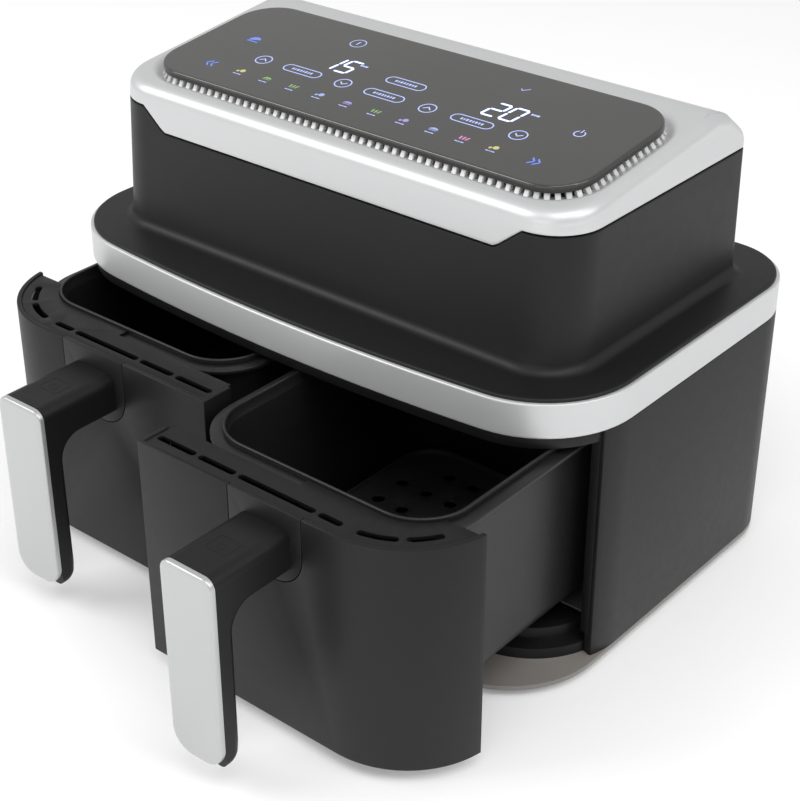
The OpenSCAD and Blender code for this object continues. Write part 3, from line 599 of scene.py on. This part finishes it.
# section of a vent rib in millimetres: inwards from the glass's edge, and up from the glass's top
ribSection = [(4, -4.6), (1.4, -4.6), (0.9, -5.4), (-0.5, -7.6), (-1.2, -8.4), (4, -8.4)]
glassHalf = glassHigh.x
panelStops = [x * 11 * mm for x in range(-11, 12)]


def glassOutline(inset):
    r = panelCorner - inset
    return plan(glassHalf - inset, inset, glassDepth - inset, r, r, panelStops, 12, 6)


def buildGlass():
    e = panel["edge"]
    under = [(3, 0), (0.5, 0), (0.1, 0.15), (0, 0.5)]
    rings = [at(glassOutline(inset * mm), up * mm - glassThick) for inset, up in under]
    rings.append(at(glassOutline(0), -e - 0.3 * mm))
    rings += [at(glassOutline(e * (1 - cos)), -e * (1 - sin)) for sin, cos in sweep(5)]
    rings.append(at(glassOutline(e + 0.6 * mm), 0))
    bm = solidOfRings(rings)
    bmesh.ops.transform(bm, matrix=deckTurn, verts=bm.verts)
    return finishPiece("panelGlass", bm, "body", "glass_dark", None, ("control_glass",), 40)


def joinLoops(bm, outer, inner):
    # a flat band of faces between two outlines
    edges = closedRow(bm, outer)[1] + closedRow(bm, inner)[1]
    bmesh.ops.bridge_loops(bm, edges=edges)


# marks on the glass, in millimetres: sizes, how far up each row lies, and where its marks lie across
markShape = {
    "lift": 0.03,
    "thick": 0.05,
    "line": 0.75,     # width of the thin lines in the symbols
    "digit": 16,      # height of a digit
    "digitPitch": 12.2,
    "slant": 0.14,
    "arrowRing": 5.6,
    "pillWide": 29,
    "pillHigh": 8.6,
    "keyPitch": 21.15,
}
rows = {"keys": 21, "pills": 41.3, "digits": 60, "top": 89}
# digits, the middle of the pair and the middle of its unit
readouts = [("15", -50, -36.5), ("20", 72.5, 89.5)]
# places of the arrow keys, with 1 for up and -1 for down
arrowKeys = [(-96.2, 1), (-32.2, -1), (31.6, 1), (95.4, -1)]
pillKeys = [(-64.6, "pills"), (-0.7, "pills"), (63.4, "pills"), (0.4, "digits")]
firstKey = -97
# widths of the bars that stand where such a panel carries a caption
captions = {
    "unit": [1.6, 1.2, 2],
    "pill": [1.3, 0.8, 1.5, 1.2, 0.9, 1.4, 1, 1.3],
    "key": [1.9, 1.1, 2.4],
}
keyShades = {
    "Yellow": (0.4, 0.38, 0.16, 1),
    "Green": (0.16, 0.28, 0.1, 1),
    "Violet": (0.26, 0.2, 0.5, 1),
    "Pink": (0.42, 0.16, 0.32, 1),
    "Ice": (0.24, 0.3, 0.55, 1),
}
keyOrder = ["Yellow", "Green", "Green", "Ice", "Violet", "Green", "Violet", "Ice", "Pink", "Yellow"]
# the seven bars of a digit, in halves of its height: middle point and whether the bar lies flat
segments = {
    "top": (0, 2, True),
    "middle": (0, 1, True),
    "low": (0, 0, True),
    "upLeft": (-1, 1.5, False),
    "upRight": (1, 1.5, False),
    "lowLeft": (-1, 0.5, False),
    "lowRight": (1, 0.5, False),
}
digitBars = {
    "0": ("top", "low", "upLeft", "upRight", "lowLeft", "lowRight"),
    "1": ("upRight", "lowRight"),
    "2": ("top", "upRight", "middle", "lowLeft", "low"),
    "5": ("top", "upLeft", "middle", "lowRight", "low"),
}


class Marks:
    # flat marks of one colour on the glass, drawn in millimetres and gathered into one piece
    def __init__(self, name, shade, strength):
        self.name = "marks" + name
        self.material = glow("mark" + name, shade, strength)
        self.bm = bmesh.new()

    def shape(self, points):
        verts = [self.bm.verts.new((x, y, 0)) for x, y in points]
        return self.bm.faces.new(verts)

    def strip(self, points, width):
        # a line through the points, widened up the glass by an extrusion
        row = [self.bm.verts.new((x, y - width / 2, 0)) for x, y in points]
        edges = [self.bm.edges.new(pair) for pair in zip(row, row[1:])]
        made = bmesh.ops.extrude_edge_only(self.bm, edges=edges)
        bmesh.ops.translate(self.bm, vec=(0, width, 0), verts=vertsOf(made))

    def loop(self, outer, inner):
        joinLoops(self.bm, at(outer, 0), at(inner, 0))

    def ring(self, x, y, r, width):
        self.loop(arc(x, y, r, 0, 345, 23), arc(x, y, r - width, 0, 345, 23))

    def openRing(self, x, y, r, width, start, end):
        self.shape(arc(x, y, r, start, end, 18) + arc(x, y, r - width, end, start, 18))

    def pill(self, x, y, w, h, width):
        r, reach = h / 2, (w - h) / 2
        outer, inner = [arc(x + reach, y, r - cut, -90, 90, 10) + arc(x - reach, y, r - cut, 90, 270, 10)
                        for cut in (0, width)]
        self.loop(outer, inner)

    def bar(self, x, y, w, h):
        corners = ((-1, -1), (1, -1), (1, 1), (-1, 1))
        self.shape([(x + sx * w / 2, y + sy * h / 2) for sx, sy in corners])

    def word(self, x, y, widths, height, gap):
        left = x - (sum(widths) + gap * (len(widths) - 1)) / 2
        for w in widths:
            self.bar(left + w / 2, y, w, height)
            left += w + gap

    def digit(self, digit, x, y):
        height = markShape["digit"]
        half, wide, thick = height / 2, height * 0.27, height * 0.1
        for name in digitBars[digit]:
            sx, sy, flat = segments[name]
            cx, cy = x + sx * wide, y - half + sy * half
            reach = (wide if flat else half / 2) - 0.18
            tip = reach - thick / 2
            ends = [(-reach, 0), (-tip, -thick / 2), (tip, -thick / 2),
                    (reach, 0), (tip, thick / 2), (-tip, thick / 2)]
            if not flat:
                ends = [(-b, a) for a, b in ends]
            self.shape([(cx + a + (cy + b - y) * markShape["slant"], cy + b) for a, b in ends])

    def finish(self):
        bm = self.bm
        bmesh.ops.recalc_face_normals(bm, faces=bm.faces)
        for face in bm.faces:
            if face.normal.z < 0:
                face.normal_flip()
        extrudeFaces(bm, list(bm.faces), (0, 0, markShape["thick"]))
        bmesh.ops.translate(bm, vec=(0, 0, markShape["lift"]), verts=bm.verts)
        bmesh.ops.scale(bm, vec=(mm, mm, mm), verts=bm.verts)
        bmesh.ops.transform(bm, matrix=deckTurn, verts=bm.verts)
        return finishPiece(self.name, bm, "body", "display_pale", self.material, (), 40)


def drawReadouts(white, dim):
    y = rows["digits"]
    for digits, x, unitX in readouts:
        for k, digit in enumerate(digits):
            white.digit(digit, x + (k - 0.5) * markShape["digitPitch"], y)
        dim.word(unitX, y + 5.5, captions["unit"], 1.7, 0.4)


def drawControls(dim):
    line = markShape["line"]
    y = rows["pills"]
    for x, up in arrowKeys:
        dim.ring(x, y, markShape["arrowRing"], line)
        foot, head = y - up * 1.1, y + up * 1.3
        dim.strip([(x - 2.6, foot), (x, head), (x + 2.6, foot)], line * 1.5)
    for x, row in pillKeys:
        dim.pill(x, rows[row], markShape["pillWide"], markShape["pillHigh"], line)
        dim.word(x, rows[row], captions["pill"], 2.2, 0.9)


def drawSymbols(dim, blue):
    # a pair of arrow heads at each end, a power sign, a clock, a tick and a lamp
    line = markShape["line"]
    low, middle, top = rows["keys"], rows["digits"], rows["top"]
    for side in (-1, 1):
        for x in (side * 119.5, side * 123.1):
            head = [(x - side * 1.5, low + 3.2), (x + side * 1.5, low), (x - side * 1.5, low - 3.2)]
            blue.strip(head[::side], line * 2.2)
    dim.openRing(123, middle, 3.6, line, 120, 420)
    dim.bar(123, middle + 3, line, 3.6)
    dim.ring(-61.4, top, 5.4, line * 0.8)
    dim.bar(-61.4, top + 0.3, 0.8, 4.4)
    dim.strip([(62.3, top + 0.3), (64, top - 1.4), (67.6, top + 2.2)], line)
    blue.shape(arc(-121.7, middle, 4, 20, 200, 10))
    blue.bar(-121.7, middle - 2.2, 8.5, 1)


def drawBlobs(marks, x, y):
    marks.shape(arc(x + 0.8, y + 1.8, 1.9, 0, 330, 11))
    marks.shape(arc(x - 2.2, y + 0.6, 1.1, 0, 315, 7))


def drawDish(marks, x, y):
    marks.shape(arc(x, y - 0.2, 3.6, 25, 155, 10))
    marks.bar(x, y + 0.3, 5.6, 0.6)


def drawSticks(marks, x, y):
    for turn in (-1, 0, 1):
        foot, head = x + turn * 2, x + turn * 2.6
        marks.shape([(foot - 0.6, y), (foot + 0.6, y), (head + 0.9, y + 3.4), (head - 0.5, y + 3.4)])


def buildMarks():
    white = Marks("White", (0.5, 0.58, 0.95, 1), 1.2)
    dim = Marks("Dim", (0.28, 0.33, 0.6, 1), 0.7)
    blue = Marks("Blue", (0.08, 0.15, 0.5, 1), 0.6)
    drawReadouts(white, dim)
    drawControls(dim)
    drawSymbols(dim, blue)
    coloured = {name: Marks(name, shade, 0.3) for name, shade in keyShades.items()}
    symbols = (drawBlobs, drawDish, drawSticks)
    for k, name in enumerate(keyOrder):
        x = firstKey + markShape["keyPitch"] * k
        symbols[k % 3](coloured[name], x, rows["keys"])
        dim.word(x, rows["keys"] - 2.8, captions["key"], 0.75, 0.35)
    for marks in [white, dim, blue] + list(coloured.values()):
        marks.finish()


def evenly(points, pitch):
    # places along a closed outline at an even pitch, each with its direction
    total = sum(math.dist(points[i - 1], points[i]) for i in range(len(points)))
    count = round(total / pitch)
    placed, run, want = [], 0.0, 0.0
    for i in range(len(points)):
        (ax, ay), (bx, by) = points[i - 1], points[i]
        span = math.dist((ax, ay), (bx, by))
        while span > 0 and want <= run + span and len(placed) < count:
            share = (want - run) / span
            placed.append((ax + (bx - ax) * share, ay + (by - ay) * share, math.atan2(by - ay, bx - ax)))
            want += total / count
        run += span
    return placed


def buildVentRibs():
    # ribs between the vent slots, from under the glass out to the trough's floor
    bm = bmesh.new()
    wide = panel["ribWide"]
    for x, y, turn in evenly(glassOutline(0), panel["ribPitch"]):
        inward = Vector((-math.sin(turn), math.cos(turn), 0))
        along = Vector((math.cos(turn), math.sin(turn), 0))
        start = Vector((x, y, 0)) - along * wide / 2
        points = [start + inward * n * mm + Vector((0, 0, w * mm)) for n, w in ribSection]
        face = bm.faces.new([bm.verts.new(point) for point in points])
        extrudeFaces(bm, [face], along * wide)
    bmesh.ops.bevel(bm, geom=hardEdges(bm, 60), offset=panel["ribEdge"], segments=1, profile=0.5,
                    affect="EDGES", material=-1)
    bmesh.ops.transform(bm, matrix=deckTurn, verts=bm.verts)
    return finishPiece("ventRibs", bm, "body", "silver_cover", ringFinish, (), 35)


buildGlass()
buildMarks()
buildVentRibs()
# the vent grille takes the lighter grey, painted light against the shade under the glass
softened("vent_grille", 0.35 * mm, 2, ventGrillePaintedLight)
print("control panel made")


handleShape = {
    "neckHeight": 24 * mm,
    "gripDepth": 11 * mm,
    "fillet": 14 * mm,
    "heel": 8 * mm,
    "edge": 6.5 * mm,       # rounding of the upper edges
    "heelEdge": 4.875 * mm,
    "backEdge": 3 * mm,
    "facingEdge": 2.2 * mm,
    "facingLowCorner": 13 * mm,
    "facingHighCorner": 6.5 * mm,
    "markLine": 0.5 * mm,   # width of the outlines on top of the neck
    "markThick": 0.12 * mm,
}
# rounded outlines on top of the neck: distance behind the grip's front, half sizes and corner radius
neckMarks = [(24 * mm, 7.5 * mm, 6.5 * mm, 2 * mm), (22.8 * mm, 3 * mm, 2.2 * mm, 1 * mm)]


def buildHandle(side):
    h = handleShape
    low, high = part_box("handle_" + side)
    front, back = low.y, low.y + h["gripDepth"]
    under = high.z - h["neckHeight"]
    profile = [(front, low.z), (front, high.z), (high.y, high.z), (high.y, under)]
    profile += arc(back + h["fillet"], under - h["fillet"], h["fillet"], 90, 180, 12)
    profile += arc(back - h["heel"], low.z + h["heel"], h["heel"], 0, -90, 8)
    bm = bmesh.new()
    outline = bm.faces.new([bm.verts.new((low.x, y, z)) for y, z in profile])
    extrudeFaces(bm, [outline], (high.x - low.x, 0, 0))
    bmesh.ops.recalc_face_normals(bm, faces=bm.faces)
    weight = bm.edges.layers.float.new("bevel_weight_edge")
    for edge in bm.edges:
        # the long edges of both sides are rounded, except at the front and at the neck's end
        a, b = edge.verts
        mid = (a.co + b.co) / 2
        across = abs(a.co.x - b.co.x) > nearly
        if across or abs(mid.y - front) < nearly or abs(mid.y - high.y) < nearly:
            continue
        if abs(mid.z - high.z) < nearly:
            edge[weight] = 1.0
        elif mid.z < low.z + h["heel"] * 0.95:
            edge[weight] = h["heelEdge"] / h["edge"]
        else:
            edge[weight] = h["backEdge"] / h["edge"]
    piece = finishPiece("handleGrip_" + side, bm, "drawer_" + side, "charcoal", finishes["soft_black"],
                        ("handle_" + side,), 40, False)
    bevel = piece.modifiers.new("rounding", "BEVEL")
    bevel.limit_method = "WEIGHT"
    bevel.width = h["edge"]
    bevel.segments = 6
    return piece


def buildFacing(side):
    h = handleShape
    low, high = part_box("handle_facing_" + side)
    e, lowR, highR = h["facingEdge"], h["facingLowCorner"], h["facingHighCorner"]

    def ring(inset, y):
        pts = arc(high.x - lowR, low.z + lowR, lowR - inset, -90, 0, 10)
        pts += arc(high.x - highR, high.z - highR, highR - inset, 0, 90, 8)
        pts += arc(low.x + highR, high.z - highR, highR - inset, 90, 180, 8)
        pts += arc(low.x + lowR, low.z + lowR, lowR - inset, 180, 270, 10)
        return [(x, y, z) for x, z in pts]

    rings = [ring(0.5 * mm, high.y), ring(0, high.y - 0.3 * mm), ring(0, low.y + e * 0.62),
             ring(0.15 * mm, low.y + e * 0.45), ring(0.45 * mm, low.y + e * 0.28),
             ring(e * 0.75, low.y + 0.25 * mm), ring(e, low.y + 0.08 * mm), ring(e + 0.3 * mm, low.y)]
    # the facings take the darker silver copy, whose darkness is painted shade
    return finishPiece("handleFacing_" + side, solidOfRings(rings), "drawer_" + side, "silver_cover",
                       facingSilverPaintedShade, ("handle_facing_" + side,), 30)


def roundBox(cx, cy, halfX, halfY, r):
    pts = []
    for sx, sy, start in ((1, 1, 0), (-1, 1, 90), (-1, -1, 180), (1, -1, 270)):
        pts += arc(cx + sx * (halfX - r), cy + sy * (halfY - r), r, start, start + 90, 5)
    return pts


def buildNeckMark(side):
    # thin raised outlines on top of the neck
    low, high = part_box("handle_" + side)
    mid, level = (low.x + high.x) / 2, high.z + 0.02 * mm
    line, thick = handleShape["markLine"], handleShape["markThick"]
    bm = bmesh.new()
    for back, halfX, halfY, r in neckMarks:
        outer = roundBox(mid, low.y + back, halfX, halfY, r)
        inner = roundBox(mid, low.y + back, halfX - line, halfY - line, r - line)
        joinLoops(bm, at(outer, level), at(inner, level))
    extrudeFaces(bm, list(bm.faces), (0, 0, thick))
    bmesh.ops.translate(bm, vec=(0, 0, -0.05 * mm), verts=bm.verts)
    return finishPiece("neckMark_" + side, bm, "drawer_" + side, "charcoal", finishes["charcoal"], (), 40)


for side in ("left", "right"):
    buildHandle(side)
    buildFacing(side)
    buildNeckMark(side)
print("handles made")


tubShape = {
    "wall": 1.8 * mm,
    "corner": 31 * mm,
    "underRound": 8 * mm,
    "floorRound": 9 * mm,
    "draft": 1.2 * mm,      # how much thicker the walls are below the rim
    "rimR": 0.9 * mm,
    "flangeThick": 2.5 * mm,
    "flangeWide": 7 * mm,
    "flangeDrop": 2 * mm,   # from the drawer's top frame down to the flange
}


def tubOutline(inset, side):
    low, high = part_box("drawer_tub_" + side)
    wide = tubShape["flangeWide"]
    mid = (low.x + high.x) / 2
    half = (high.x - low.x) / 2 - wide - inset
    r = max(tubShape["corner"] - inset, 1 * mm)
    pts = plan(half, low.y + wide + inset, high.y - wide - inset, r, r,
               spread(-half + r, half - r, 10), 12, 12)
    return [(mid + x, y) for x, y in pts]


def buildTub(side):
    t = tubShape
    low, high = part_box("drawer_tub_" + side)
    wall, rim, draft = t["wall"], t["rimR"], t["draft"]
    under, inner = t["underRound"], t["floorRound"]
    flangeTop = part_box("top_frame_" + side)[1].z - t["flangeDrop"]
    flangeLow, wide = flangeTop - t["flangeThick"], t["flangeWide"]
    floor = low.z + wall

    def ring(inset, z):
        return at(tubOutline(inset, side), z)

    rings = [ring(under + 4 * mm, low.z)]
    rings += [ring(under * (1 - sin), low.z + under * (1 - cos)) for sin, cos in sweep(5, 1)]
    rings += [ring(0, low.z + under + 2 * mm), ring(0, flangeLow - 1 * mm), ring(0, flangeLow)]
    rings += [ring(0.3 * mm - wide, flangeLow), ring(-wide, flangeLow + 0.3 * mm)]
    rings += [ring(-wide, flangeTop - 0.3 * mm), ring(0.3 * mm - wide, flangeTop)]
    rings += [ring(0.2 * mm, flangeTop), ring(0, flangeTop + 0.4 * mm), ring(0, high.z - rim)]
    rings += [ring(rim * (1 - cos), high.z - rim * (1 - sin)) for sin, cos in sweep(5, 1)]
    rings += [ring(wall - rim * (1 - sin), high.z - rim * (1 - cos)) for sin, cos in sweep(5, 1)]
    rings += [ring(wall, high.z - 5.6 * mm), ring(wall + 0.9 * mm, high.z - 6.6 * mm)]
    rings += [ring(wall + 1.1 * mm, high.z - 8 * mm), ring(wall + draft, floor + inner + 4 * mm)]
    rings += [ring(wall + draft + inner * (1 - cos), floor + inner * (1 - sin)) for sin, cos in sweep(7)]
    rings.append(ring(wall + inner + 3 * mm, floor))
    return finishPiece("foodTub_" + side, solidOfRings(rings), "drawer_" + side, "nonstick", None,
                       ("drawer_tub_" + side,), 50)


def buildBasePan():
    # the top of the pan's lip is glossier than the rest
    pan = softened("base_pan", 0.7 * mm)
    pan.data.materials.append(toeFinish)
    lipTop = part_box("base_pan")[0].z + 3 * mm
    for face in pan.data.polygons:
        if lipTop - 2 * mm < face.center.z < lipTop + 0.1 * mm:
            face.material_index = 1


for side in ("left", "right"):
    buildTub(side)
    softened("drawer_front_" + side, 0.5 * mm)
    softened("top_frame_" + side, 0.4 * mm)
    softened("handle_insert_" + side, 0.4 * mm)
    # the crisper plate takes the lighter non-stick copy, whose extra lightness is painted light
    softened("crisper_plate_" + side, 0.25 * mm, 1, plateNonStickPaintedLight)
    softened("plate_bumpers_" + side, 0.5 * mm)
softened("outer_shell", 0.7 * mm)
softened("front_bezel", 0.5 * mm)
buildBasePan()
softened("rubber_feet", 1 * mm)
softened("exhaust_grilles", 0.3 * mm, 1)
softened("cord_gland", 0.5 * mm)
print("drawers and case made")


def finishRoom():
    bm = bmesh.new()
    bmesh.ops.create_grid(bm, x_segments=2, y_segments=2, size=6)
    mesh = bpy.data.meshes.new("floor")
    bm.to_mesh(mesh)
    bm.free()
    floor = bpy.data.objects.new("floor", mesh)
    scene.collection.objects.link(floor)
    mesh.materials.append(palePlain("paleFloor", 0.82, 0.2))


lamps = {  # name: place, aim, width, height, power
    "keyFront": ((-1.3, -1.2, 1.6), (0, 0, 0.15), 1.2, 1.2, 22),
    "topSoft": ((0.9, -0.5, 1.9), (0, 0, 0.1), 1.6, 1.2, 15),
    "sideRight": ((1.8, 0.2, 1.4), (0, 0, 0.2), 1.2, 1.0, 9),
    "lowFill": ((0.4, -2.0, 0.5), (0, 0, 0.1), 1.4, 0.5, 4),
}


def buildLamps():
    for name, (place, aim, width, height, power) in lamps.items():
        data = bpy.data.lights.new(name, "AREA")
        data.shape = "RECTANGLE"
        data.size, data.size_y, data.energy = width, height, power
        lamp = bpy.data.objects.new(name, data)
        lamp.location = place
        lamp.rotation_euler = (Vector(aim) - Vector(place)).to_track_quat("-Z", "Y").to_euler()
        scene.collection.objects.link(lamp)
    world = bpy.data.worlds.new("studio")
    world.use_nodes = True
    scene.world = world
    world.node_tree.nodes["Background"].inputs["Color"].default_value = (1, 1, 1, 1)
    world.node_tree.nodes["Background"].inputs["Strength"].default_value = 0.62


view = {
    "place": (0.6227, -0.6836, 0.6432),
    "azimuth": 39.77,
    "elevation": 30.27,
    "lens": 78.9,
}


def buildCamera():
    data = bpy.data.cameras.new("camera")
    data.lens = view["lens"]
    data.sensor_width = 36
    camera = bpy.data.objects.new("camera", data)
    camera.location = view["place"]
    camera.rotation_euler = (math.radians(90 - view["elevation"]), 0, math.radians(view["azimuth"]))
    scene.collection.objects.link(camera)
    scene.camera = camera


finishRoom()
buildLamps()
buildCamera()
scene.view_settings.view_transform = "Standard"
print("stage, light and camera made")
